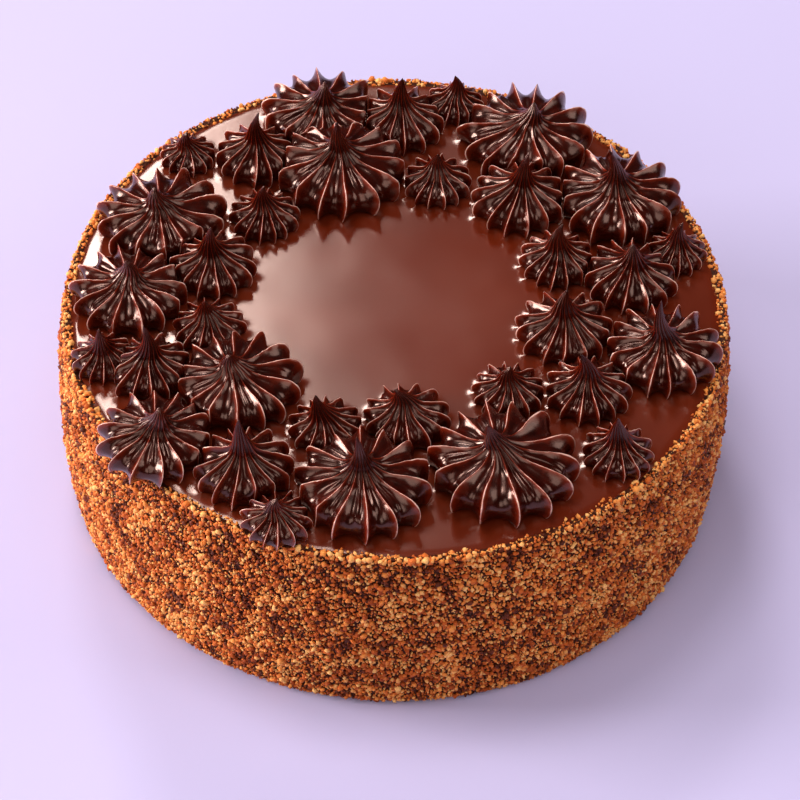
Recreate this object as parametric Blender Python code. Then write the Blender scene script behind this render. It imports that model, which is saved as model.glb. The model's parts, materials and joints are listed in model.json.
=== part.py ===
"""Chocolate torte: a round glazed cake with a crumb-coated side and a ring of piped rosettes.

Metres, +Z up. The origin is the middle of the flat underside, and the front of the cake looks
towards -Y. Every object is one solid: the cake with its coat of crumbs, the poured glaze that
lies in the cake's shallow top, and each rosette.
"""

import math
import random
from collections import namedtuple

import bmesh
import bpy
from mathutils import Matrix, Vector

MM = 0.001
CLEARANCE = 0.3 * MM  # gap between pieces that rest on or lean against each other
AXIS_MERGE = 0.01 * MM  # points of a turned solid closer than this are one point

# The cake
CAKE_HEIGHT = 64 * MM  # up to the rim, level with the glaze
CAKE_RADIUS = 98.6 * MM  # at mid height, under the crumbs
SIDE_BULGE = 2.2 * MM  # how far the top and bottom edges lie inside the middle
FOOT_ROUNDING = 3 * MM
RIM_WIDTH = 1.6 * MM
RIM_ROUNDING = 0.5 * MM
CAKE_SEGMENTS = 80

# The coat of fine crumbs, as bumps of the side between its foot and its rim
SIDE_RINGS = 8
LOWEST_RING = 0.05  # share of the cake's height
HIGHEST_RING = 0.965
SIDE_UNEVENNESS = 0.6 * MM

# The crumbs big enough to stand out of the coat
CRUMB_SIZE = 2.7 * MM
CRUMB_UNEVENNESS = (0.8, 1.1)  # how far its corners lie from its middle, as shares of its radius
RIM_CRUMBS = 36
SIDE_CRUMBS = 60
CRUMB_SEED = 7
GOLDEN_ANGLE = math.pi * (3 - math.sqrt(5))  # spreads the crumbs evenly round the side

# The glaze
GLAZE_THICKNESS = 2.3 * MM
GLAZE_EDGE_ROUNDING = 0.6 * MM
GLAZE_SEGMENTS = 60

# The rosettes, all piped with one star nozzle
FINS = 14
FIN_SEED = 21
FIN_UNEVENNESS = 0.05  # share by which a fin is shorter than the longest
SHOULDER_BY_RADIUS = 0.40  # height of the fins' shoulders: this share of the radius
SHOULDER_BY_PEAK = 0.08  # and this share of the whole height
TWIST = math.radians(9)  # turn of the fins from the foot to the peak
# A ring of the rosette: the height and the reach of a fin's edge, then those of the valley beside
# it. A height of 1 is the shoulder and 2 the peak, and a reach is a share of the radius
Ring = namedtuple("Ring", "edge_height edge_reach valley_height valley_reach")
FOOT = Ring(0, 0.88, 0, 0.70)
BELLY = Ring(0.45, 1.00, 0.42, 0.77)
SHOULDER = Ring(1.02, 0.86, 0.88, 0.60)
NECK = Ring(1.05, 0.37, 0.97, 0.25)
SPIRE = Ring(1.42, 0.17, 1.42, 0.13)
CONE = Ring(1.28, 0.31, 1.28, 0.21)
LARGE_RINGS = (FOOT, BELLY, SHOULDER, NECK, SPIRE)
SMALL_RINGS = (FOOT, BELLY, SHOULDER, CONE)
LARGE_FROM = 30 * MM  # diameter from which a rosette has the finer set of rings

# The piping plan: the bearing in degrees, clockwise from the back as seen from above, and then in
# millimetres the distance from the middle, the diameter, the height, and the peak's lean to +X
Rosette = namedtuple("Rosette", "bearing distance diameter height lean")
PIPING_PLAN = (
    Rosette(0, 74, 27, 21, 0),
    Rosette(11, 85, 18, 14, 0),
    Rosette(13, 50, 21, 14, 0),
    Rosette(29, 78, 40, 18, 2),
    Rosette(41, 55, 29, 23, 2),
    Rosette(57, 78, 38, 24, -4),
    Rosette(70, 50, 22, 18, 1),
    Rosette(75, 85, 18, 15, 1),
    Rosette(81, 69, 28, 17, 0),
    Rosette(103, 50, 28, 20, 0),
    Rosette(104, 79, 33, 25, -2),
    Rosette(122, 65, 25, 18, -3),
    Rosette(132, 85, 20, 17, -1),
    Rosette(137, 48, 21, 13, 0),
    Rosette(154, 71, 42, 20, -5),
    Rosette(175, 47, 25, 15, -4),
    Rosette(186, 73, 39, 24, -2),
    Rosette(200, 54, 21, 16, -3),
    Rosette(200, 90, 20, 11, 0),
    Rosette(211, 79, 28, 24, -1),
    Rosette(229, 87, 33, 16, 1),
    Rosette(231, 57, 37, 15, -2),
    Rosette(246, 76, 25, 21, -1),
    Rosette(252, 87, 17, 15, -1),
    Rosette(256, 55, 21, 13, -1),
    Rosette(269, 77, 34, 16, -1),
    Rosette(281, 55, 26, 19, 0),
    Rosette(292, 75, 38, 17, -2),
    Rosette(309, 51, 21, 15, 0),
    Rosette(312, 86, 17, 12, 0),
    Rosette(323, 72, 25, 21, 1),
    Rosette(341, 55, 38, 23, -1),
    Rosette(342, 79, 36, 18, 1),
)

# The finishes: name, colour, roughness
CRUMB_COAT = ("crumb coat", (0.42, 0.17, 0.05), 0.85)
POURED_GLAZE = ("poured glaze", (0.16, 0.045, 0.022), 0.12)
PIPED_GANACHE = ("piped ganache", (0.065, 0.018, 0.010), 0.28)


def empty_scene():
    for thing in list(bpy.data.objects):
        bpy.data.objects.remove(thing)


def finish(name, colour, roughness):
    """A material with the given colour and roughness."""
    material = bpy.data.materials.new(name)
    material.use_nodes = True
    shader = material.node_tree.nodes["Principled BSDF"]
    shader.inputs["Base Color"].default_value = (*colour, 1)
    shader.inputs["Roughness"].default_value = roughness
    return material


def new_object(name, mesh_data, material):
    """Turns a bmesh into a named object with outward faces."""
    bmesh.ops.recalc_face_normals(mesh_data, faces=mesh_data.faces)
    mesh = bpy.data.meshes.new(name)
    mesh_data.to_mesh(mesh)
    mesh_data.free()
    mesh.materials.append(material)
    thing = bpy.data.objects.new(name, mesh)
    bpy.context.scene.collection.objects.link(thing)
    return thing


def turned(profile, segments):
    """A closed solid of revolution. The profile's first and last points lie on the axis."""
    solid = bmesh.new()
    line = [solid.verts.new((radius, 0, height)) for radius, height in profile]
    edges = [solid.edges.new(pair) for pair in zip(line, line[1:])]
    bmesh.ops.spin(
        solid,
        geom=line + edges,
        cent=(0, 0, 0),
        axis=(0, 0, 1),
        angle=math.tau,
        steps=segments,
        use_merge=True,
    )
    bmesh.ops.remove_doubles(solid, verts=solid.verts, dist=AXIS_MERGE)
    return solid


def side_radius(height):
    """The cake's radius under the crumbs: widest at mid height, a little less above and below."""
    from_middle = 2 * height / CAKE_HEIGHT - 1
    return CAKE_RADIUS - SIDE_BULGE * from_middle**2


def side_heights():
    step = (HIGHEST_RING - LOWEST_RING) / (SIDE_RINGS - 1)
    return [(LOWEST_RING + step * ring) * CAKE_HEIGHT for ring in range(SIDE_RINGS)]


def glaze_radius():
    return side_radius(CAKE_HEIGHT) - RIM_WIDTH - CLEARANCE


def cake_profile():
    """From the middle of the underside, up the side, over the rim and into the shallow top."""
    foot = side_radius(0) - FOOT_ROUNDING
    floor = CAKE_HEIGHT - GLAZE_THICKNESS - CLEARANCE
    rim_inside = glaze_radius() + CLEARANCE
    rim_outside = side_radius(CAKE_HEIGHT) - RIM_ROUNDING
    return [
        (0, 0),
        (foot, 0),
        (foot + 0.7 * FOOT_ROUNDING, 0.3 * FOOT_ROUNDING),
        *[(side_radius(height), height) for height in side_heights()],
        (rim_outside, CAKE_HEIGHT),
        (rim_inside, CAKE_HEIGHT),
        (rim_inside, floor),
        (0, floor),
    ]


def roughen_side(solid):
    """Moves the side's points in and out, as the coat of crumbs is uneven in thickness."""
    chance = random.Random(CRUMB_SEED)
    lowest, highest = side_heights()[0], side_heights()[-1]
    for point in solid.verts:
        flat = Vector((point.co.x, point.co.y, 0))
        on_side = lowest - AXIS_MERGE < point.co.z < highest + AXIS_MERGE
        if on_side and flat.length > glaze_radius() + 2 * CLEARANCE:
            step = chance.uniform(-SIDE_UNEVENNESS, SIDE_UNEVENNESS)
            point.co += flat.normalized() * step


def centre_of(rosette):
    angle = math.radians(rosette.bearing)
    return Vector((math.sin(angle), math.cos(angle))) * rosette.distance * MM


def clear_of_rosettes(place, reach):
    """True where a crumb of this reach stands free of every rosette above the rim."""
    flat = Vector((place.x, place.y))
    return all(
        (flat - centre_of(rosette)).length > rosette.diameter / 2 * MM + reach
        for rosette in PIPING_PLAN
    )


def crumb_places():
    """Where the big crumbs sit: a row along the rim, then a spiral that covers the side."""
    chance = random.Random(CRUMB_SEED)
    places = []
    for index in range(RIM_CRUMBS):
        angle = math.tau * (index + chance.uniform(-0.3, 0.3)) / RIM_CRUMBS
        radius = side_radius(CAKE_HEIGHT) - 0.1 * MM
        height = CAKE_HEIGHT - chance.uniform(0.2, 1.0) * MM
        place = Vector((radius * math.cos(angle), radius * math.sin(angle), height))
        if clear_of_rosettes(place, CRUMB_SIZE / 2):
            places.append(place)
    for index in range(SIDE_CRUMBS):
        angle = index * GOLDEN_ANGLE
        height = CAKE_HEIGHT * (0.07 + 0.84 * (index + 0.5) / SIDE_CRUMBS)
        radius = side_radius(height)
        places.append(Vector((radius * math.cos(angle), radius * math.sin(angle), height)))
    return places


def make_crumb(place, chance):
    """A craggy crumb of twenty faces, half sunk in the cake."""
    lump = bmesh.new()
    bmesh.ops.create_icosphere(lump, subdivisions=1, radius=CRUMB_SIZE / 2)
    for point in lump.verts:
        point.co *= chance.uniform(*CRUMB_UNEVENNESS)
    turn = Matrix.Rotation(chance.uniform(0, math.tau), 4, Vector((0.3, 0.5, 0.8)).normalized())
    bmesh.ops.transform(lump, matrix=Matrix.Translation(place) @ turn, verts=lump.verts)
    mesh = bpy.data.meshes.new("crumb")
    lump.to_mesh(mesh)
    lump.free()
    return bpy.data.objects.new("crumb", mesh)


def fuse(base, pieces):
    """Joins the pieces to the base with one union, and removes them."""
    heap = bpy.data.collections.new("heap")
    bpy.context.scene.collection.children.link(heap)
    for piece in pieces:
        heap.objects.link(piece)
    union = base.modifiers.new("fuse", "BOOLEAN")
    union.operation = "UNION"
    union.solver = "EXACT"
    union.operand_type = "COLLECTION"
    union.collection = heap
    bpy.context.view_layer.objects.active = base
    bpy.ops.object.modifier_apply(modifier=union.name)
    for piece in list(heap.objects):
        bpy.data.objects.remove(piece)
    bpy.data.collections.remove(heap)


def make_cake(material):
    solid = turned(cake_profile(), CAKE_SEGMENTS)
    roughen_side(solid)
    cake = new_object("cake_with_crumbs", solid, material)
    chance = random.Random(CRUMB_SEED)
    fuse(cake, [make_crumb(place, chance) for place in crumb_places()])
    return cake


def make_glaze(material):
    """The poured glaze: a disc with a softly rounded upper edge."""
    radius = glaze_radius()
    bottom = CAKE_HEIGHT - GLAZE_THICKNESS
    edge = GLAZE_EDGE_ROUNDING
    profile = [
        (0, bottom),
        (radius, bottom),
        (radius, CAKE_HEIGHT - edge),
        (radius - 0.3 * edge, CAKE_HEIGHT - 0.3 * edge),
        (radius - 1.6 * edge, CAKE_HEIGHT),
        (0, CAKE_HEIGHT),
    ]
    return new_object("chocolate_glaze", turned(profile, GLAZE_SEGMENTS), material)


def dividing_lines(rosette):
    """Where neighbours press against this rosette: a direction, and how far its piping goes."""
    lines = []
    for neighbour in PIPING_PLAN:
        way = centre_of(neighbour) - centre_of(rosette)
        widths = rosette.diameter + neighbour.diameter
        if neighbour is not rosette and way.length < widths / 2 * MM + CLEARANCE:
            limit = way.length * rosette.diameter / widths - CLEARANCE / 2
            lines.append((way.normalized(), limit))
    return lines


def height_above(level, shoulder, peak):
    """The height in metres for a ring's height, where 1 is the shoulder and 2 the peak."""
    if level <= 1:
        return level * shoulder
    return shoulder + (level - 1) * (peak - shoulder)


def make_rosette(name, rosette, seed, material):
    """A piped star: edges of fins and valleys alternate round each ring, up to the peak."""
    centre = centre_of(rosette)
    radius = rosette.diameter / 2 * MM
    peak = rosette.height * MM
    lean = rosette.lean * MM
    shoulder = SHOULDER_BY_RADIUS * radius + SHOULDER_BY_PEAK * peak
    foot = CAKE_HEIGHT + CLEARANCE
    lines = dividing_lines(rosette)
    chance = random.Random(seed)
    lengths = [1 - FIN_UNEVENNESS * chance.random() for _fin in range(FINS)]
    start = chance.uniform(0, math.tau / FINS)

    solid = bmesh.new()
    rings = []
    ring_set = LARGE_RINGS if 2 * radius > LARGE_FROM else SMALL_RINGS
    for shape in ring_set:
        ring = []
        for step in range(2 * FINS):
            if step % 2 == 0:
                level, reach = shape.edge_height, shape.edge_reach * lengths[step // 2]
            else:
                level, reach = shape.valley_height, shape.valley_reach
            above = height_above(level, shoulder, peak)
            angle = start + math.pi * step / FINS + TWIST * above / peak
            flat = Vector((math.cos(angle), math.sin(angle))) * reach * radius
            flat.x += lean * (above / peak) ** 2
            for direction, limit in lines:
                flat -= direction * max(0, flat.dot(direction) - limit)
            ring.append(solid.verts.new((centre.x + flat.x, centre.y + flat.y, foot + above)))
        rings.append(ring)
    tip = solid.verts.new((centre.x + lean, centre.y, foot + peak))

    solid.faces.new(reversed(rings[0]))
    for low, high in zip(rings, rings[1:]):
        for index in range(2 * FINS):
            after = (index + 1) % (2 * FINS)
            solid.faces.new((low[index], low[after], high[after], high[index]))
    for index in range(2 * FINS):
        solid.faces.new((rings[-1][index], rings[-1][(index + 1) % (2 * FINS)], tip))
    return new_object(name, solid, material)


def build():
    empty_scene()
    make_cake(finish(*CRUMB_COAT))
    make_glaze(finish(*POURED_GLAZE))
    ganache = finish(*PIPED_GANACHE)
    for number, rosette in enumerate(PIPING_PLAN, start=1):
        make_rosette(f"rosette_{number:02d}", rosette, FIN_SEED + number, ganache)


build()
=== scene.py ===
import json
import math
import random

import bmesh
import bpy
import numpy as np
from mathutils import Matrix, Vector, noise
from mathutils.kdtree import KDTree

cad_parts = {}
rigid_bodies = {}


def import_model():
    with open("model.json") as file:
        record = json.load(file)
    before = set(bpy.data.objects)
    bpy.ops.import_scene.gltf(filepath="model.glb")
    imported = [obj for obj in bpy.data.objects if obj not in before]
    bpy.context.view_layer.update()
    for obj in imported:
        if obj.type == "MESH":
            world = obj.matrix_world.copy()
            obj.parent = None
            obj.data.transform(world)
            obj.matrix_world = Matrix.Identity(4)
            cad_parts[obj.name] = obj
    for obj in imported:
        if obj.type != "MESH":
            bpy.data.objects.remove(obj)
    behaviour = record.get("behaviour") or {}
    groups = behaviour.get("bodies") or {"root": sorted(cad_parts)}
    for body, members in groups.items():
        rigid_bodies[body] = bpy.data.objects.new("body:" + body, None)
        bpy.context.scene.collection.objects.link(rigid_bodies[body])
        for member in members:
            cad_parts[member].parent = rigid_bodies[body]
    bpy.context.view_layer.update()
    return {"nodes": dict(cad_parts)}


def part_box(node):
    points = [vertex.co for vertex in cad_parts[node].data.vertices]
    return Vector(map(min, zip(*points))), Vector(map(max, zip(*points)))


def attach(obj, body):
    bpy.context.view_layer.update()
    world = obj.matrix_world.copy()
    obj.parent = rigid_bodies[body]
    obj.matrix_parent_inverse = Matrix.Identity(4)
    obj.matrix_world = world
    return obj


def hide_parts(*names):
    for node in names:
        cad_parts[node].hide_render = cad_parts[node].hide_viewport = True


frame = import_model()
mm = 0.001
print("frame loaded:", len(frame["nodes"]), "solids")


# general helpers

def deselectAll():
    if bpy.context.object and bpy.context.object.mode != "OBJECT":
        bpy.ops.object.mode_set(mode="OBJECT")
    bpy.ops.object.select_all(action="DESELECT")


def keepPiece(piece, material, nodeName=None):
    piece.data.materials.clear()
    piece.data.materials.append(material)
    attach(piece, "root")
    if nodeName:
        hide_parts(nodeName)


def applyModifiers(piece):
    deselectAll()
    piece.select_set(True)
    bpy.context.view_layer.objects.active = piece
    for modifier in list(piece.modifiers):
        bpy.ops.object.modifier_apply(modifier=modifier.name)


def pointsOf(mesh):
    flat = np.empty(len(mesh.vertices) * 3, np.float32)
    mesh.vertices.foreach_get("co", flat)
    return flat.reshape(-1, 3).astype(float)


def setPoints(mesh, points):
    mesh.vertices.foreach_set("co", points.astype(np.float32).ravel())
    mesh.update()


def ripple(points, scale, seed=0.0):
    # smooth noise between -1 and 1 at each point, one bump about every `scale` metres
    shift = Vector((seed * 7.3, seed * 3.1, seed * 5.7))
    return np.array([noise.noise(Vector(p) / scale + shift) for p in points])


def shaderFor(name, **sockets):
    material = bpy.data.materials.new(name)
    material.use_nodes = True
    shader = material.node_tree.nodes["Principled BSDF"]
    for socket, value in sockets.items():
        shader.inputs[socket.replace("_", " ")].default_value = value
    return material, material.node_tree, shader


def addNode(tree, kind, **settings):
    node = tree.nodes.new("ShaderNode" + kind)
    for key, value in settings.items():
        if hasattr(node, key):
            setattr(node, key, value)
        else:
            node.inputs[key.replace("_", " ")].default_value = value
    return node


def colourRamp(tree, source, stops):
    ramp = addNode(tree, "ValToRGB")
    elements = ramp.color_ramp.elements
    elements[0].position, elements[0].color = stops[0][0], (*stops[0][1], 1)
    elements[1].position, elements[1].color = stops[-1][0], (*stops[-1][1], 1)
    for position, colour in stops[1:-1]:
        elements.new(position).color = (*colour, 1)
    tree.links.new(source, ramp.inputs["Fac"])
    return ramp.outputs["Color"]


# where the rosettes stand, read from the frame

piping = {
    "fins": 14,
    "footEdge": 0.88,  # reach of a fin's edge and of a valley at the foot, as shares of the radius
    "footValley": 0.70,
    "shortestFin": 0.94,  # as a share of the longest
    "twist": math.radians(9),
    "gap": 0.3 * mm,  # between neighbours
}


def readRosette(node):
    # a solid's points lie in level rings: foot, shoulder rings and tip
    points = np.unique(pointsOf(node.data).round(6), axis=0)
    heights = np.unique(points[:, 2].round(5))
    rings = [points[abs(points[:, 2] - height) < 0.01 * mm] for height in heights]
    foot, top, tip = rings[0], rings[-2], rings[-1][0]
    height = tip[2] - foot[0, 2]
    # a rosette leans by the square of the height
    share = (top[0, 2] - foot[0, 2]) / height
    lean = (tip[0] - top[:, 0].mean()) / (1 - share ** 2)
    centre = np.array((tip[0] - lean, tip[1]))
    out = foot[:, :2] - centre
    reach, angles = np.hypot(*out.T), np.arctan2(out[:, 1], out[:, 0])
    # edges and valleys take turns round the foot, from the longest fin on
    phase = angles[np.argmax(reach)]
    turns = np.arange(2 * piping["fins"]) * math.pi / piping["fins"]
    reach = np.interp(turns, (angles - phase) % math.tau, reach, period=math.tau)
    radius = reach[1::2].max() / piping["footValley"]
    return {
        "centre": centre,
        "foot": foot[0, 2],
        "height": height,
        "radius": radius,
        "lean": lean,
        "phase": phase,
        "lengths": np.clip(reach[0::2] / radius / piping["footEdge"], piping["shortestFin"], 1),
    }


rosetteNames = sorted(name for name in frame["nodes"] if name.startswith("rosette_"))
rosettes = {name: readRosette(frame["nodes"][name]) for name in rosetteNames}
print("rosettes read:", len(rosettes))


def pressedBy(rosette):
    # the lines along which neighbours press: a direction, and how far the piping goes that way
    lines = []
    for other in rosettes.values():
        way = other["centre"] - rosette["centre"]
        length = np.hypot(*way)
        widths = rosette["radius"] + other["radius"]
        if other is not rosette and length < widths + piping["gap"]:
            limit = length * rosette["radius"] / widths - piping["gap"] / 2
            lines.append((way / length, limit))
    return lines


# the piped ganache: one star is modelled, then each rosette is a shaped copy of it

star = {
    "corners": (0.0, 0.16, 0.5, 0.84),  # of one fin: its edge, then three points across the valley
    "edgeCrease": 0.6,
    "crestShare": (1.0, 0.3, 0.0, 0.3),  # how much each corner takes of the painted highlight along a fin's edge; where it takes none, the painted shade of the valley
    "sideRise": 0.40,  # how far a valley's sides rise towards the edges beside it
    # rings: height and reach of the edge, then of the valley. Height 1 is the shoulder, 2 the peak
    "wideRings": [
        (0.00, 0.93, 0.05, 0.74), (0.07, 0.96, 0.09, 0.765), (0.22, 0.99, 0.18, 0.79),
        (0.44, 1.02, 0.34, 0.81), (0.67, 1.015, 0.50, 0.795), (0.86, 0.965, 0.64, 0.74),
        (0.98, 0.86, 0.76, 0.645), (1.00, 0.69, 0.84, 0.51), (0.98, 0.53, 0.88, 0.385),
        (1.00, 0.385, 0.94, 0.285), (1.11, 0.275, 1.07, 0.215), (1.30, 0.19, 1.28, 0.158),
        (1.54, 0.125, 1.53, 0.108), (1.78, 0.068, 1.78, 0.060), (1.94, 0.028, 1.94, 0.025),
    ],
    "narrowRings": [
        (0.00, 0.92, 0.05, 0.73), (0.10, 0.965, 0.11, 0.755), (0.35, 1.01, 0.30, 0.785),
        (0.64, 1.01, 0.54, 0.775), (0.88, 0.94, 0.75, 0.70), (1.02, 0.80, 0.89, 0.58),
        (1.09, 0.63, 0.99, 0.445), (1.18, 0.46, 1.09, 0.325), (1.31, 0.315, 1.26, 0.235),
        (1.51, 0.20, 1.48, 0.16), (1.75, 0.105, 1.74, 0.088), (1.93, 0.04, 1.93, 0.034),
    ],
    "spireReach": 0.35,
    "spireCrest": 0.78,  # how much of the painted highlight along the ridges is left on the spire
    "wideFrom": 15 * mm,  # radius from which a rosette has the dished top of a wide one
    "fullness": 1.05,  # makes up for what smoothing takes off the fins
    "slimmest": 0.30,  # how much slimmer the spire of a tall rosette is
    "slimFrom": 16 * mm,  # height from which a rosette is tall, and how soon it is slimmest
    "slimOver": 6 * mm,
    "spireStart": 1.02,  # level from which the spire is slim, and how soon
    "spireOver": 0.22,
    "shoulderByRadius": 0.40,  # the shoulder's height, from the radius and from the peak
    "shoulderByPeak": 0.08,
    "smoothness": 2,
}


def pipeStar(name, rings):
    # level by level, a ring is extruded and its points are set to their places
    fins, corners = piping["fins"], star["corners"]
    step = math.tau / fins
    deselectAll()
    bpy.ops.mesh.primitive_circle_add(vertices=fins * len(corners), radius=1, fill_type="NGON")
    piece = bpy.context.object
    piece.name = name
    # crest: 1 on a fin's edge, less across the valley; the ganache paints a highlight along it and
    # shade in the valleys
    piece.data.attributes.new("crest", "FLOAT", "POINT")
    piece.data.attributes.new("crease_edge", "FLOAT", "EDGE")
    piece.data.attributes.new("crease_vert", "FLOAT", "POINT")
    bpy.ops.object.mode_set(mode="EDIT")
    for level, (edgeHeight, edgeReach, valleyHeight, valleyReach) in enumerate(rings):
        if level:
            bpy.ops.mesh.extrude_region_move(TRANSFORM_OT_translate={"value": (0, 0, 0.1)})
        mesh = bmesh.from_edit_mesh(piece.data)
        crest = mesh.verts.layers.float["crest"]
        crease = mesh.edges.layers.float["crease_edge"]
        ring = [v for v in mesh.verts if v.select]
        # the first fin's edge stands at angle 0, and comes first
        ring.sort(key=lambda v: (math.atan2(v.co.y, v.co.x) + 0.01) % math.tau)
        for index, vert in enumerate(ring):
            fin, corner = divmod(index, len(corners))
            angle = (fin + corners[corner]) * step
            rise = (1, star["sideRise"], 0, star["sideRise"])[corner]
            height = valleyHeight + (edgeHeight - valleyHeight) * rise
            reach = valleyReach + (edgeReach - valleyReach) * rise
            vert.co = (math.cos(angle) * reach, math.sin(angle) * reach, height)
            onSpire = edgeHeight > 1 and edgeReach < star["spireReach"]
            vert[crest] = star["crestShare"][corner] * (star["spireCrest"] if onSpire else 1.0)
            for edge in vert.link_edges:
                alongFin = corner == 0 and not edge.other_vert(vert).select
                edge[crease] = star["edgeCrease"] if alongFin else float(level == 0)
        bmesh.update_edit_mesh(piece.data)
    bpy.ops.mesh.extrude_region_move(TRANSFORM_OT_translate={"value": (0, 0, 0.05)})
    bpy.ops.mesh.merge(type="CENTER")
    mesh = bmesh.from_edit_mesh(piece.data)
    tip = max(mesh.verts, key=lambda v: v.co.z)
    tip.co = (0, 0, 2.0)
    tip[mesh.verts.layers.float["crease_vert"]] = 1.0
    bmesh.update_edit_mesh(piece.data)
    bpy.ops.mesh.select_all(action="SELECT")
    bpy.ops.mesh.normals_make_consistent(inside=False)
    bpy.ops.object.mode_set(mode="OBJECT")
    smooth = piece.modifiers.new("smooth", "SUBSURF")
    smooth.levels = smooth.render_levels = star["smoothness"]
    applyModifiers(piece)
    bpy.ops.object.shade_smooth()
    return piece


unevenness = {
    "edgeRipple": 0.24 * mm,  # small breaks along a fin's edge, and how long they are
    "edgeRippleWidth": 1.3 * mm,
    "bodyRipple": 0.30 * mm,  # slow bends of the whole rosette, and how wide they are
    "bodyRippleWidth": 9 * mm,
    "spireEven": 0.15,  # reach within which fins don't differ, and over which they come to
    "finsDiffer": 0.5,
    "finHeight": 0.085,
    "finTurn": 0.12,  # how far a fin may stand off its even place, as a share of the spacing
    "pressSoftness": 0.9 * mm,
    "tipCurl": 0.7 * mm,  # how far the spire bows out below its tip, and from what level
    "curlStart": 1.2,
    "foldShare": 0.35,  # share of the valleys with a small second ridge
    "foldHeight": 0.055,
    "foldOut": 0.5,  # how much of it goes outwards, and how much upwards
    "foldUp": 0.8,
    "foldPlace": (0.38, 0.62),  # where across the valley it stands
    "foldWidth": 0.10,
    "foldStart": (0.45, 0.75),  # the level at which it starts, and the one at which it ends
    "foldEnd": 1.5,
    "streaksAround": 3,  # how close the long streaks stand, and how short they are
    "streaksAlong": 0.25,
}


def shapeRosette(name, rosette, master, material):
    fins = piping["fins"]
    chance = random.Random(name)
    mesh = master.data.copy()
    points = pointsOf(mesh)
    crest = np.empty(len(points), np.float32)
    mesh.attributes["crest"].data.foreach_get("value", crest)
    radius, peak = rosette["radius"], rosette["height"]
    shoulder = star["shoulderByRadius"] * radius + star["shoulderByPeak"] * peak
    level, reach = points[:, 2], np.hypot(points[:, 0], points[:, 1])
    around = (np.arctan2(points[:, 1], points[:, 0]) % math.tau) / math.tau * fins

    # every fin has its own length, height and place
    def perFin(values):
        return np.interp(around, np.arange(fins + 1), np.append(values, values[0]))

    # 0 in the spire, 1 out in the fins
    body = np.clip((reach - unevenness["spireEven"]) / unevenness["finsDiffer"], 0, 1)
    length = 1 + (perFin(rosette["lengths"]) - 1) * body
    lift = perFin([chance.uniform(-1, 1) for _ in range(fins)]) * unevenness["finHeight"] * body
    turn = perFin([chance.uniform(-1, 1) for _ in range(fins)]) * unevenness["finTurn"] * body
    folds = np.zeros(len(points))
    for fin in range(fins):
        if chance.random() < unevenness["foldShare"]:
            middle = fin + chance.uniform(*unevenness["foldPlace"])
            start = chance.uniform(*unevenness["foldStart"])
            across = np.exp(-(((around - middle) / unevenness["foldWidth"]) ** 2))
            rising = np.clip((level - start) / 0.2, 0, 1)
            fading = np.clip((unevenness["foldEnd"] - level) / 0.3, 0, 1)
            folds += across * rising * fading * unevenness["foldHeight"]
    tall = np.clip((peak - star["slimFrom"]) / star["slimOver"], 0, 1)
    onSpire = np.clip((level - star["spireStart"]) / star["spireOver"], 0, 1)
    slim = 1 - star["slimmest"] * tall * onSpire
    reach = (reach * length * slim * star["fullness"] + folds * unevenness["foldOut"]) * radius
    above = np.where(level <= 1, level * shoulder, shoulder + (level - 1) * (peak - shoulder))
    above = above * (1 + lift * np.clip(level, 0, 1)) + folds * radius * unevenness["foldUp"]
    above[level > 1.99] = peak
    angle = (around + turn) * math.tau / fins + rosette["phase"] + piping["twist"] * above / peak
    flat = np.stack([np.cos(angle), np.sin(angle)], 1) * reach[:, None]
    flat[:, 0] += rosette["lean"] * (above / peak) ** 2
    curlStart = unevenness["curlStart"]
    curl = np.sin(math.pi * np.clip((level - curlStart) / (2 - curlStart), 0, 1))
    curlWay = chance.uniform(0, math.tau)
    flat += curl[:, None] * unevenness["tipCurl"] * [math.cos(curlWay), math.sin(curlWay)]

    # slow bends, and small breaks along the edges
    place = np.column_stack([flat, above])
    seed = chance.uniform(0, 50)
    bendWidth, breakWidth = unevenness["bodyRippleWidth"], unevenness["edgeRippleWidth"]
    bends = [ripple(place, bendWidth, seed + axis) * unevenness["bodyRipple"] for axis in range(3)]
    breaks = ripple(place, breakWidth, seed + 9) * unevenness["edgeRipple"] * crest * body
    offFoot = np.clip(above / shoulder, 0, 1)
    flat += np.stack(bends[:2], 1) * offFoot[:, None]
    above += (bends[2] + breaks) * offFoot * (level < 1.9)

    # neighbours press their fins flat against each other
    soft = unevenness["pressSoftness"]
    for way, limit in pressedBy(rosette):
        out = flat @ way
        start = limit - soft
        beyond = np.clip(out - start, 0, None)
        pushed = start + soft * (1 - np.exp(-beyond / soft))
        flat += np.where(out > start, pushed - out, 0)[:, None] * way

    place = np.column_stack([flat + rosette["centre"], above.clip(0) + rosette["foot"]])
    setPoints(mesh, place)
    streak = mesh.attributes.new("streak", "FLOAT_VECTOR", "POINT")  # long noise along the fins
    spin = around * math.tau / fins
    ring, along = unevenness["streaksAround"], unevenness["streaksAlong"]
    grain = np.stack([np.cos(spin) * ring, np.sin(spin) * ring, level * along + seed], 1)
    streak.data.foreach_set("vector", grain.astype(np.float32).ravel())
    piece = bpy.data.objects.new("piped_" + name, mesh)
    bpy.context.scene.collection.objects.link(piece)
    keepPiece(piece, material, name)
    return piece


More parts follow.
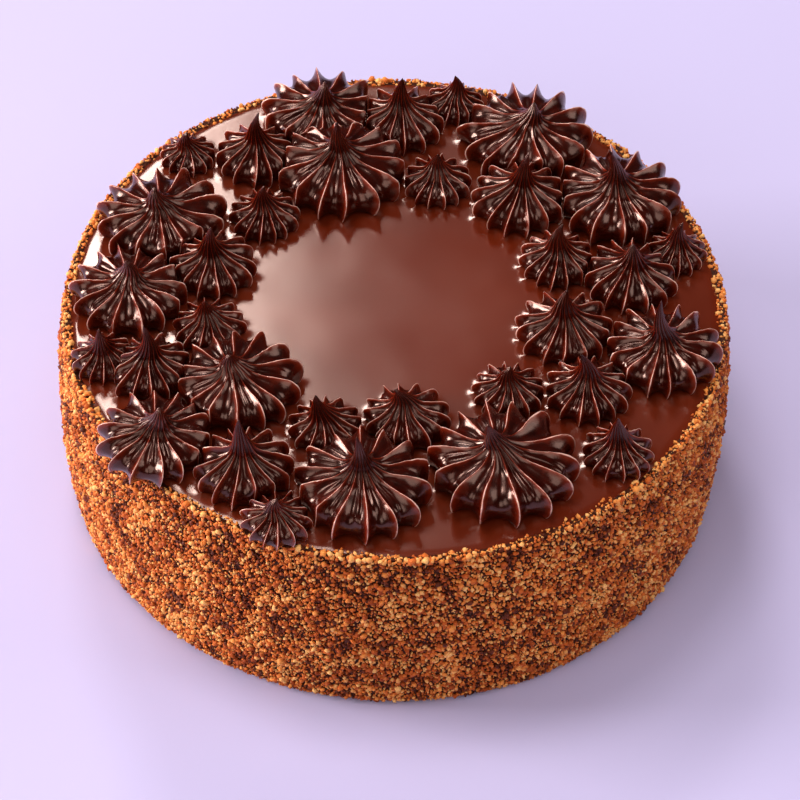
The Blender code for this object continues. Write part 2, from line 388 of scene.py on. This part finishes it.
ganache = {
    "gloss": 0.8,
    "glossTint": (1.0, 0.60, 0.48, 1.0),
    "roughness": (0.16, 0.27),
    "softness": 0.12,
    "softRadius": (1.0, 0.22, 0.1),
    "softDepth": 0.9 * mm,
    "highlightThinness": 2.6,  # keeps the painted highlight along a fin's edge a thin line
    "paintedLightShare": 0.74,  # how much the painted edge highlight and valley shade, and the mottle, count in the colour
    "mottleShare": 0.5,
    # from painted shade in the dark valleys, through red painted light where edges are thin, to a
    # painted highlight line along a fin's edge
    "colours": [
        (0.15, (0.012, 0.0005, 0.0001)), (0.32, (0.034, 0.0018, 0.0004)),
        (0.60, (0.125, 0.0090, 0.0018)), (0.82, (0.190, 0.0210, 0.0080)),
        (0.97, (0.80, 0.46, 0.38)),
    ],
    "streakScale": 9.0,
    "pitScale": 900.0,
    "mottleScale": 260.0,
    "pitRelief": 0.28,
    "pitDepth": 0.1 * mm,
    "streakRelief": 0.02,
    "streakDepth": 0.2 * mm,
}


def ganacheMaterial():
    material, tree, shader = shaderFor(
        "dark ganache", Specular_IOR_Level=ganache["gloss"], Specular_Tint=ganache["glossTint"],
        Subsurface_Weight=ganache["softness"], Subsurface_Radius=ganache["softRadius"],
        Subsurface_Scale=ganache["softDepth"],
    )
    along = addNode(tree, "Attribute", attribute_name="streak")
    crest = addNode(tree, "Attribute", attribute_name="crest")
    place = addNode(tree, "TexCoord")
    streaks = addNode(tree, "TexNoise", Scale=ganache["streakScale"], Detail=5.0, Roughness=0.6)
    pits = addNode(tree, "TexNoise", Scale=ganache["pitScale"], Detail=3.0, Roughness=0.6)
    mottle = addNode(tree, "TexNoise", Scale=ganache["mottleScale"], Detail=2.0)
    link = tree.links.new
    link(along.outputs["Vector"], streaks.inputs["Vector"])
    link(place.outputs["Object"], pits.inputs["Vector"])
    link(place.outputs["Object"], mottle.inputs["Vector"])

    # the colour follows the painted highlight along the edges and the painted shade in the valleys,
    # and the mottle breaks it up
    thin = addNode(tree, "Math", operation="POWER")
    link(crest.outputs["Fac"], thin.inputs[0])
    thin.inputs[1].default_value = ganache["highlightThinness"]
    edge = addNode(tree, "Math", operation="MULTIPLY")
    link(thin.outputs["Value"], edge.inputs[0])
    edge.inputs[1].default_value = ganache["paintedLightShare"]
    tone = addNode(tree, "Math", operation="MULTIPLY_ADD")
    link(mottle.outputs["Fac"], tone.inputs[0])
    tone.inputs[1].default_value = ganache["mottleShare"]
    link(edge.outputs["Value"], tone.inputs[2])
    colour = colourRamp(tree, tone.outputs["Value"], ganache["colours"])
    link(colour, shader.inputs["Base Color"])

    smoothest, roughest = ganache["roughness"]
    rough = addNode(
        tree, "MapRange", From_Min=0.35, From_Max=0.7, To_Min=smoothest, To_Max=roughest)
    link(streaks.outputs["Fac"], rough.inputs["Value"])
    link(rough.outputs["Result"], shader.inputs["Roughness"])
    fine = addNode(tree, "Bump", Strength=ganache["pitRelief"], Distance=ganache["pitDepth"])
    coarse = addNode(
        tree, "Bump", Strength=ganache["streakRelief"], Distance=ganache["streakDepth"])
    link(pits.outputs["Fac"], fine.inputs["Height"])
    link(streaks.outputs["Fac"], coarse.inputs["Height"])
    link(fine.outputs["Normal"], coarse.inputs["Normal"])
    link(coarse.outputs["Normal"], shader.inputs["Normal"])
    return material


wideStar = pipeStar("wide_star", star["wideRings"])
narrowStar = pipeStar("narrow_star", star["narrowRings"])
darkGanache = ganacheMaterial()
pipedRosettes = []
for name in rosetteNames:
    master = wideStar if rosettes[name]["radius"] > star["wideFrom"] else narrowStar
    pipedRosettes.append(shapeRosette(name, rosettes[name], master, darkGanache))
bpy.data.objects.remove(wideStar)
bpy.data.objects.remove(narrowStar)
print("rosettes piped:", sum(len(piece.data.polygons) for piece in pipedRosettes), "faces")


# the poured glaze

glaze = {
    "segments": 480,
    "ringStep": 0.85 * mm,
    "footReach": 0.9 * mm,  # a rosette's points up to this height count as its foot
    "meniscusHeight": 0.42 * mm,  # how high the glaze climbs at a rosette's foot
    "meniscusWidth": 0.75 * mm,
    "waviness": 0.10 * mm,
    "waveWidth": 34 * mm,
    "smallWaveShare": 0.25,
    "smallWaveWidth": 11 * mm,
    "edgeDrop": 0.4 * mm,
    "edgeWidth": 2.2 * mm,
    "edgeWander": 6 * mm,  # how soon the drop changes along the edge
    "skirt": 0.6 * mm,
    "gloss": 0.9,
    "glossTint": (1.0, 0.71, 0.60, 1.0),
    "roughness": (0.15, 0.20),
    "colours": [(0.3, (0.106, 0.0104, 0.0024)), (0.7, (0.126, 0.0140, 0.0036))],
}


def glazeMaterial():
    material, tree, shader = shaderFor(
        "milk chocolate glaze", Specular_IOR_Level=glaze["gloss"],
        Specular_Tint=glaze["glossTint"], Subsurface_Weight=0.08,
        Subsurface_Radius=(1.0, 0.4, 0.25), Subsurface_Scale=1.5 * mm,
    )
    place = addNode(tree, "TexCoord")
    clouds = addNode(tree, "TexNoise", Scale=22.0, Detail=3.0)
    dust = addNode(tree, "TexNoise", Scale=500.0, Detail=2.0)
    link = tree.links.new
    link(place.outputs["Object"], clouds.inputs["Vector"])
    link(place.outputs["Object"], dust.inputs["Vector"])
    link(colourRamp(tree, clouds.outputs["Fac"], glaze["colours"]), shader.inputs["Base Color"])
    smoothest, roughest = glaze["roughness"]
    rough = addNode(tree, "MapRange", From_Min=0.3, From_Max=0.7, To_Min=smoothest, To_Max=roughest)
    link(clouds.outputs["Fac"], rough.inputs["Value"])
    link(rough.outputs["Result"], shader.inputs["Roughness"])
    skin = addNode(tree, "Bump", Strength=0.06, Distance=0.1 * mm)
    link(dust.outputs["Fac"], skin.inputs["Height"])
    link(skin.outputs["Normal"], shader.inputs["Normal"])
    return material


def pourGlaze():
    low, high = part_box("chocolate_glaze")
    radius = (high.x - low.x) / 2
    deselectAll()
    bpy.ops.mesh.primitive_circle_add(
        vertices=glaze["segments"], radius=radius, fill_type="NGON", location=(0, 0, high.z))
    piece = bpy.context.object
    piece.name = "glaze_top"
    bpy.ops.object.transform_apply(location=True)
    bpy.ops.object.mode_set(mode="EDIT")
    bpy.ops.mesh.select_mode(type="FACE")
    bpy.ops.mesh.select_all(action="SELECT")
    for _ in range(int(radius / glaze["ringStep"]) - 2):
        bpy.ops.mesh.inset(thickness=glaze["ringStep"], depth=0)
    bpy.ops.mesh.poke()
    bpy.ops.object.mode_set(mode="OBJECT")

    # the surface climbs at the rosettes' feet and rolls down to the crumbs at its edge
    points = pointsOf(piece.data)
    outlines = np.vstack([pointsOf(rosettePiece.data) for rosettePiece in pipedRosettes])
    outlines = outlines[outlines[:, 2] < high.z + glaze["footReach"]]
    feet = KDTree(len(outlines))
    for index, (x, y, _z) in enumerate(outlines):
        feet.insert((x, y, 0), index)
    feet.balance()
    distance = np.array([feet.find((x, y, 0))[2] for x, y, _z in points])
    out = np.hypot(points[:, 0], points[:, 1])
    climb = glaze["meniscusHeight"] * np.exp(-((distance / glaze["meniscusWidth"]) ** 1.3))
    waves = ripple(points, glaze["waveWidth"], 2.0)
    waves += ripple(points, glaze["smallWaveWidth"], 5.0) * glaze["smallWaveShare"]
    toEdge = np.clip((out - (radius - glaze["edgeWidth"])) / glaze["edgeWidth"], 0, 1)
    wander = ripple(points, glaze["edgeWander"], 8.0) * 0.5 + 0.5
    drop = toEdge ** 2.2 * glaze["edgeDrop"] * (0.5 + wander)
    points[:, 2] += climb + waves * glaze["waviness"] - drop
    setPoints(piece.data, points)

    # the glaze gets its thickness: its edge goes down to the cake
    bpy.ops.object.mode_set(mode="EDIT")
    bpy.ops.mesh.select_all(action="SELECT")
    bpy.ops.mesh.region_to_loop()
    bpy.ops.mesh.extrude_edges_move(TRANSFORM_OT_translate={"value": (0, 0, -glaze["skirt"])})
    bpy.ops.mesh.edge_face_add()
    bpy.ops.mesh.select_all(action="SELECT")
    bpy.ops.mesh.normals_make_consistent(inside=False)
    bpy.ops.object.mode_set(mode="OBJECT")
    points = pointsOf(piece.data)
    points[:, 2] = np.maximum(points[:, 2], low.z)
    setPoints(piece.data, points)
    deselectAll()
    piece.select_set(True)
    bpy.context.view_layer.objects.active = piece
    bpy.ops.object.shade_smooth_by_angle(angle=math.radians(50))
    keepPiece(piece, glazeMaterial(), "chocolate_glaze")
    return piece


glazeTop = pourGlaze()
print("glaze poured:", len(glazeTop.data.polygons), "faces")


# the cake and its coat

cake = {
    "segments": 360,
    "rings": 44,
    "bulge": 2.2 * mm,  # how far the top and bottom edges lie inside the middle
    "coatWidth": 1.9 * mm,  # of the rim outside the glaze
    "footRounding": 3.0 * mm,
    "footTuck": 0.8,  # how far the foot goes in, as a share of its rounding
    "underCrumbs": 0.5 * mm,  # how far the body lies inside the side that the crumbs stand on
    "coatRelief": 0.35 * mm,  # lumps of the coat, and how wide they are
    "coatReliefWidth": 2.4 * mm,
    # the top has a rim, and slopes in to a shallow seat for the glaze
    "rimTop": 1.4 * mm,
    "seatSlope": 1.2 * mm,
    "seatDepth": 1.6 * mm,
    "colours": [
        (0.35, (0.020, 0.0035, 0.0014)), (0.6, (0.060, 0.011, 0.0035)), (0.75, (0.16, 0.032, 0.008)),
    ],
}
glazeLow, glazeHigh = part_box("chocolate_glaze")
cakeHeight = glazeHigh.z  # the rim is level with the glaze
glazeRadius = (glazeHigh.x - glazeLow.x) / 2
cakeRadius = glazeRadius + cake["bulge"] + cake["coatWidth"]  # at mid height, under the crumbs


def sideRadius(height):
    fromMiddle = 2 * height / cakeHeight - 1
    radius = cakeRadius - cake["bulge"] * fromMiddle ** 2
    fromFoot = np.clip(1 - height / cake["footRounding"], 0, 1)
    curve = 1 - np.sqrt(1 - fromFoot ** 2 * 0.98)  # a quarter circle, stopped just before its end
    return radius - cake["footRounding"] * curve * cake["footTuck"]


def coatMaterial():
    material, tree, shader = shaderFor(
        "chocolate coat", Roughness=0.6, Specular_IOR_Level=0.2,
        Specular_Tint=(1.0, 0.75, 0.65, 1.0),
    )
    place = addNode(tree, "TexCoord")
    lumps = addNode(tree, "TexNoise", Scale=700.0, Detail=4.0, Roughness=0.65)
    link = tree.links.new
    link(place.outputs["Object"], lumps.inputs["Vector"])
    link(colourRamp(tree, lumps.outputs["Fac"], cake["colours"]), shader.inputs["Base Color"])
    relief = addNode(tree, "Bump", Strength=0.8, Distance=0.5 * mm)
    link(lumps.outputs["Fac"], relief.inputs["Height"])
    link(relief.outputs["Normal"], shader.inputs["Normal"])
    return material


def bakeCake():
    deselectAll()
    bpy.ops.mesh.primitive_circle_add(
        vertices=cake["segments"], radius=cakeRadius, fill_type="NGON", location=(0, 0, 0))
    piece = bpy.context.object
    piece.name = "cake_body"
    bpy.ops.object.mode_set(mode="EDIT")
    bpy.ops.mesh.select_mode(type="FACE")
    bpy.ops.mesh.select_all(action="SELECT")
    rise = cakeHeight / cake["rings"]
    for _ in range(cake["rings"]):
        bpy.ops.mesh.extrude_region_move(TRANSFORM_OT_translate={"value": (0, 0, rise)})
    bpy.ops.mesh.inset(thickness=cake["rimTop"], depth=0)
    bpy.ops.mesh.inset(thickness=cake["seatSlope"], depth=-cake["seatDepth"])
    bpy.ops.mesh.select_all(action="SELECT")
    bpy.ops.mesh.normals_make_consistent(inside=False)
    bpy.ops.object.mode_set(mode="OBJECT")

    # the straight side gets its bulge, rounded foot and relief, and the top follows its edge
    points = pointsOf(piece.data)
    out = np.hypot(points[:, 0], points[:, 1])
    side = out > cakeRadius - 0.2 * mm
    relief = ripple(points, cake["coatReliefWidth"], 1.0) * cake["coatRelief"]
    offFloor = points[:, 2] > 0.5 * mm
    target = sideRadius(points[:, 2]) - cake["underCrumbs"] + relief * offFloor
    inner = out - (cakeRadius - sideRadius(cakeHeight)) - cake["underCrumbs"]
    newOut = np.where(side, target, np.maximum(inner, 0))
    scale = np.divide(newOut, out, out=np.ones_like(out), where=out > 0)
    points[:, :2] *= scale[:, None]
    setPoints(piece.data, points)
    deselectAll()
    piece.select_set(True)
    bpy.context.view_layer.objects.active = piece
    bpy.ops.object.shade_smooth_by_angle(angle=math.radians(60))
    keepPiece(piece, coatMaterial(), "cake_with_crumbs")
    return piece


cakeBody = bakeCake()
print("cake body:", len(cakeBody.data.polygons), "faces")


# the crumbs

crumbs = {
    "spacing": 0.86 * mm,
    "jitter": 0.6,  # how far a grain may lie off its place, as a share of the spacing
    "size": 0.97 * mm,
    "sizeSpread": 0.30,
    "smallest": 0.55 * mm,
    "largest": 2.3 * mm,
    "sunk": 0.35 * mm,  # how deep the grains lie in the coat, and how far out they vary
    "outBy": (-0.15, 0.25),
    "boxyBelow": 1.12 * mm,  # smaller crumbs are chips of few faces
    "shapes": 9,  # of each sort, chips and grains
    "stretch": (0.65, 1.3),
    "craggy": (0.6, 1.25),  # how far out a shape's corners may lie
    "seed": 11,
    "patch": 8 * mm,  # width of the lighter and darker patches
    "smallPatch": 3 * mm,
    "smallPatchShare": 0.5,
    "mixing": 0.6,  # how much chance goes into which kind lies where
    "toneSpread": 0.75,  # how much the grains of a kind differ, and how much each is mottled
    "toneMottle": 0.55,
    "glossTint": (1.0, 0.75, 0.6, 1.0),
}
rim = {
    "grains": 2400,
    "inside": 0.4 * mm,  # how far the row laps over the glaze, and how much more it may
    "wander": 1.4 * mm,
    "wanderWidth": 0.06,  # as a share of the radius
    "height": (-0.55, 0.2),  # of a grain's middle over the glaze, as a share of its size
    "clumps": 70,
    "clumpGrains": (2, 6),
    "clumpSize": (1.2 * mm, 2.1 * mm),
    "clumpLength": 1.3 * mm,
    "clumpInside": 0.7 * mm,
    "clumpWidth": 0.8 * mm,
    "clumpHeight": (-0.9 * mm, 0.5 * mm),
}
crumbKinds = [
    # name, share, colours from dark to light, roughness
    ("golden", 0.20, ((0.80, 0.255, 0.055), (0.98, 0.51, 0.170)), 0.55),
    ("toasted", 0.20, ((0.66, 0.150, 0.024), (0.92, 0.32, 0.070)), 0.6),
    ("baked", 0.22, ((0.46, 0.078, 0.012), (0.74, 0.170, 0.028)), 0.65),
    ("browned", 0.22, ((0.26, 0.036, 0.006), (0.52, 0.098, 0.015)), 0.65),
    ("dark", 0.16, ((0.045, 0.006, 0.0020), (0.18, 0.026, 0.005)), 0.5),
]


def crumbShapes():
    # a handful of chips, then as many craggy grains, all about 1 across
    chance = random.Random(crumbs["seed"])
    shapes = []
    for number in range(crumbs["shapes"] * 2):
        deselectAll()
        if number < crumbs["shapes"]:
            bpy.ops.mesh.primitive_cube_add(size=0.72)
            bpy.ops.object.mode_set(mode="EDIT")
            bpy.ops.mesh.select_all(action="SELECT")
            bpy.ops.mesh.quads_convert_to_tris()
            bpy.ops.object.mode_set(mode="OBJECT")
        else:
            bpy.ops.mesh.primitive_ico_sphere_add(subdivisions=1, radius=0.5)
        grain = bpy.context.object
        stretch = [chance.uniform(*crumbs["stretch"]) for _ in range(3)]
        for vert in grain.data.vertices:
            vert.co *= chance.uniform(*crumbs["craggy"])
            vert.co = [vert.co[axis] * stretch[axis] for axis in range(3)]
        faces = np.array([face.vertices[:] for face in grain.data.polygons])
        shapes.append((pointsOf(grain.data), faces))
        bpy.data.objects.remove(grain)
    return shapes


def crumbMaterial(name, colours, roughness):
    material, tree, shader = shaderFor(
        name, Roughness=roughness, Specular_IOR_Level=0.3, Specular_Tint=crumbs["glossTint"],
        Subsurface_Weight=0.1, Subsurface_Radius=(1.0, 0.45, 0.2), Subsurface_Scale=0.5 * mm,
    )
    # every crumb has a tone of its own, and a fine grain breaks it up
    tone = addNode(tree, "Attribute", attribute_name="tone")
    place = addNode(tree, "TexCoord")
    grain = addNode(tree, "TexNoise", Scale=1600.0, Detail=3.0, Roughness=0.6)
    link = tree.links.new
    link(place.outputs["Object"], grain.inputs["Vector"])
    mix = addNode(tree, "Math", operation="MULTIPLY_ADD")
    link(grain.outputs["Fac"], mix.inputs[0])
    mix.inputs[1].default_value = crumbs["toneMottle"]
    link(tone.outputs["Fac"], mix.inputs[2])
    colour = colourRamp(tree, mix.outputs["Value"], [(0.15, colours[0]), (1.1, colours[1])])
    link(colour, shader.inputs["Base Color"])
    relief = addNode(tree, "Bump", Strength=0.7, Distance=0.2 * mm)
    link(grain.outputs["Fac"], relief.inputs["Height"])
    link(relief.outputs["Normal"], shader.inputs["Normal"])
    return material


def sideCrumbPlaces(chance):
    # staggered rows round the side, with every grain a little off its place
    rows = int(cakeHeight / crumbs["spacing"])
    columns = int(math.tau * cakeRadius / crumbs["spacing"])
    row, column = np.meshgrid(np.arange(rows), np.arange(columns), indexing="ij")
    loose = chance.uniform(-1, 1, (2, rows, columns)) * crumbs["jitter"]
    height = (row + 0.5 + loose[0]) * cakeHeight / rows
    angle = (column + 0.5 * (row % 2) + loose[1]) * math.tau / columns
    height, angle = height.ravel(), angle.ravel()
    size = crumbs["size"] * np.exp(chance.normal(0, crumbs["sizeSpread"], height.size))
    size = size.clip(crumbs["smallest"], crumbs["largest"])
    height = np.maximum(height, size * 0.45)  # the lowest row stands on the floor
    outBy = chance.uniform(*crumbs["outBy"], size.size) * size
    out = sideRadius(height) - crumbs["sunk"] + outBy
    return np.stack([np.cos(angle) * out, np.sin(angle) * out, height], 1), size


def freeOfRosettes(places, size):
    # true for the places that no rosette covers
    free = np.ones(len(places), bool)
    for rosette in rosettes.values():
        away = np.hypot(*(places[:, :2] - rosette["centre"]).T)
        free &= away > rosette["radius"] * 0.93 + size * 0.3
    return free


def rimCrumbPlaces(chance):
    inner, outer = glazeRadius - rim["inside"], sideRadius(cakeHeight)
    count = rim["grains"]
    angle = chance.uniform(0, math.tau, count)
    onCircle = np.stack([np.cos(angle), np.sin(angle), angle * 0], 1)
    wander = np.clip(ripple(onCircle, rim["wanderWidth"], 3.0) + 0.3, 0, 1)
    share = chance.uniform(0, 1, count) ** 0.75
    size = crumbs["size"] * np.exp(chance.normal(-0.05, 0.3, count)).clip(0.5, 1.8)
    start = inner - wander * rim["wander"]
    out = start + share * (outer - start)
    height = cakeHeight + chance.uniform(*rim["height"], count) * size * (0.4 + share * 0.6)
    places = np.stack([np.cos(angle) * out, np.sin(angle) * out, height], 1)

    # clumps of larger grains
    clumpPlaces, clumpSizes = [], []
    for clump in chance.uniform(0, math.tau, rim["clumps"]):
        for _ in range(int(chance.integers(*rim["clumpGrains"]))):
            turn = clump + chance.normal(0, rim["clumpLength"]) / outer
            across = np.clip(chance.normal(0, rim["clumpWidth"]), -1.2 * mm, 0.8 * mm)
            reach = outer - rim["clumpInside"] + across
            high = cakeHeight + chance.uniform(*rim["clumpHeight"])
            clumpPlaces.append((math.cos(turn) * reach, math.sin(turn) * reach, high))
            clumpSizes.append(chance.uniform(*rim["clumpSize"]))
    places = np.vstack([places, clumpPlaces])
    size = np.append(size, clumpSizes)
    free = freeOfRosettes(places, size)
    return places[free], size[free]


def scatterCrumbs(name, places, size, tones, material, shapes, chance):
    # each grain is a copy of one of the shapes, turned at random, all joined in one mesh
    shapeOf = chance.integers(0, crumbs["shapes"], len(places))
    shapeOf += np.where(size < crumbs["boxyBelow"], 0, crumbs["shapes"])
    turns = chance.normal(0, 1, (len(places), 4))
    turns /= np.linalg.norm(turns, axis=1)[:, None]
    w, x, y, z = turns.T
    spin = np.stack([
        1 - 2 * (y * y + z * z), 2 * (x * y - w * z), 2 * (x * z + w * y),
        2 * (x * y + w * z), 1 - 2 * (x * x + z * z), 2 * (y * z - w * x),
        2 * (x * z - w * y), 2 * (y * z + w * x), 1 - 2 * (x * x + y * y),
    ], 1).reshape(-1, 3, 3)
    allPoints, allFaces, allTones, start = [], [], [], 0
    for number, (shape, faces) in enumerate(shapes):
        picked = np.flatnonzero(shapeOf == number)
        grains = np.einsum("nij,kj->nki", spin[picked], shape) * size[picked, None, None]
        grains += places[picked, None, :]
        offsets = start + np.arange(len(picked)) * len(shape)
        allPoints.append(grains.reshape(-1, 3))
        allFaces.append((faces[None] + offsets[:, None, None]).reshape(-1, 3))
        allTones.append(np.repeat(tones[picked], len(shape)))
        start += len(picked) * len(shape)
    points, faces = np.vstack(allPoints), np.vstack(allFaces)
    points[:, 2] = np.maximum(points[:, 2], 0.02 * mm)  # nothing goes through the floor
    mesh = bpy.data.meshes.new(name)
    mesh.vertices.add(len(points))
    mesh.loops.add(faces.size)
    mesh.polygons.add(len(faces))
    mesh.vertices.foreach_set("co", points.astype(np.float32).ravel())
    mesh.loops.foreach_set("vertex_index", faces.astype(np.int32).ravel())
    mesh.polygons.foreach_set("loop_start", np.arange(0, faces.size, 3, dtype=np.int32))
    mesh.update(calc_edges=True)
    mesh.attributes.new("tone", "FLOAT", "POINT").data.foreach_set(
        "value", np.concatenate(allTones).astype(np.float32))
    piece = bpy.data.objects.new(name, mesh)
    bpy.context.scene.collection.objects.link(piece)
    keepPiece(piece, material)
    return piece


def coatWithCrumbs():
    chance = np.random.default_rng(crumbs["seed"])
    shapes = crumbShapes()
    sidePlaces, sideSize = sideCrumbPlaces(chance)
    rimPlaces, rimSize = rimCrumbPlaces(chance)
    # which kind a grain is follows the patches, with some chance
    patch = ripple(sidePlaces, crumbs["patch"], 4.0)
    patch += ripple(sidePlaces, crumbs["smallPatch"], 6.0) * crumbs["smallPatchShare"]
    rank = patch + chance.normal(0, crumbs["mixing"], len(patch))
    order = np.argsort(np.argsort(-rank)) / len(rank)
    limits = np.cumsum([share for _name, share, _colours, _roughness in crumbKinds])
    kindOf = np.searchsorted(limits, order).clip(0, len(crumbKinds) - 1)
    # the rim has more of the light kinds, and its small grains are darker
    rimRank = chance.uniform(0, 1, len(rimPlaces)) + (rimSize < 1.1 * mm) * 0.3
    rimKind = np.select([rimRank < 0.5, rimRank < 0.8, rimRank < 1.0], [0, 1, 2], 4)
    made = []
    for number, (name, _share, colours, roughness) in enumerate(crumbKinds):
        places = np.vstack([sidePlaces[kindOf == number], rimPlaces[rimKind == number]])
        size = np.append(sideSize[kindOf == number], rimSize[rimKind == number])
        tones = chance.uniform(0, 1, len(places)) * crumbs["toneSpread"]
        material = crumbMaterial(name + " crumbs", colours, roughness)
        made.append(scatterCrumbs("crumbs_" + name, places, size, tones, material, shapes, chance))
    return made


crumbPieces = coatWithCrumbs()
print("crumbs:", {piece.name: len(piece.data.polygons) for piece in crumbPieces})


# floor, light and camera

studio = {
    "floorSide": 12,
    "floorColour": (0.53, 0.46, 0.68),
    "floorMottle": 0.015,
    "worldColour": (0.95, 0.93, 1.0),
    "worldStrength": 0.03,
    # soft boxes: name, place, side, power, and whether it shows in what is glossy
    "lights": [
        ("left", (-1950 * mm, 150 * mm, 560 * mm), 800 * mm, 55.0, True),
        ("left_front", (-1300 * mm, -1200 * mm, 1100 * mm), 1000 * mm, 7.5, True),
        ("left_back", (-900 * mm, 450 * mm, 1800 * mm), 800 * mm, 7.0, True),
        ("back", (-480 * mm, 1900 * mm, 2000 * mm), 580 * mm, 24.5, True),
        ("top", (0, -200 * mm, 2400 * mm), 1800 * mm, 18.0, False),
        ("glint", (-500 * mm, 400 * mm, 2200 * mm), 520 * mm, 11.0, True),
        ("front", (-100 * mm, -2000 * mm, 1300 * mm), 1300 * mm, 11.5, True),
        ("right", (1900 * mm, 0, 1300 * mm), 1200 * mm, 12.5, True),
    ],
}
shot = {
    "aim": (0, 0, 30 * mm),
    "distance": 1000 * mm,
    "elevation": math.radians(47.8),
    "roll": math.radians(1.65),
    "focalPixels": 3350,
    "pictureSide": 800,
    "leftPixels": 6.6,  # how far the cake stands left of and above the picture's middle
    "upPixels": 16.7,
}


def layFloor():
    deselectAll()
    bpy.ops.mesh.primitive_plane_add(size=studio["floorSide"])
    floor = bpy.context.object
    floor.name = "floor"
    material, tree, shader = shaderFor("lilac floor", Roughness=0.85, Specular_IOR_Level=0.15)
    place = addNode(tree, "TexCoord")
    grain = addNode(tree, "TexNoise", Scale=3.0, Detail=2.0)
    tree.links.new(place.outputs["Object"], grain.inputs["Vector"])
    darker = tuple(part * (1 - studio["floorMottle"]) for part in studio["floorColour"])
    lighter = tuple(part * (1 + studio["floorMottle"]) for part in studio["floorColour"])
    colour = colourRamp(tree, grain.outputs["Fac"], [(0.3, darker), (0.7, lighter)])
    tree.links.new(colour, shader.inputs["Base Color"])
    floor.data.materials.append(material)


def addLight(name, place, size, power, showsInGloss):
    deselectAll()
    bpy.ops.object.light_add(type="AREA", location=place)
    lamp = bpy.context.object
    lamp.name = name
    lamp.data.shape = "SQUARE"
    lamp.data.size = size
    lamp.data.energy = power
    lamp.rotation_euler = (-Vector(place)).to_track_quat("-Z", "Y").to_euler()
    lamp.visible_camera = False
    lamp.visible_glossy = showsInGloss


def setCamera():
    side, up = math.cos(shot["elevation"]), math.sin(shot["elevation"])
    place = Vector(shot["aim"]) + Vector((0, -side, up)) * shot["distance"]
    deselectAll()
    bpy.ops.object.camera_add(location=place)
    camera = bpy.context.object
    # rolled a little, and shifted so that the cake fills the frame
    look = (Vector(shot["aim"]) - place).to_track_quat("-Z", "Y").to_matrix().to_4x4()
    camera.matrix_world = Matrix.Translation(place) @ look @ Matrix.Rotation(shot["roll"], 4, "Z")
    camera.data.sensor_width = 36
    camera.data.lens = shot["focalPixels"] / shot["pictureSide"] * 36
    camera.data.shift_x = shot["leftPixels"] / shot["pictureSide"]
    camera.data.shift_y = -shot["upPixels"] / shot["pictureSide"]
    camera.data.clip_end = 50
    bpy.context.scene.camera = camera


def setWorld():
    world = bpy.data.worlds.new("soft daylight")
    world.use_nodes = True
    background = world.node_tree.nodes["Background"]
    background.inputs["Color"].default_value = (*studio["worldColour"], 1)
    background.inputs["Strength"].default_value = studio["worldStrength"]
    bpy.context.scene.world = world
    bpy.context.scene.view_settings.view_transform = "Standard"


layFloor()
for light in studio["lights"]:
    addLight(*light)
setWorld()
setCamera()
print("studio set")
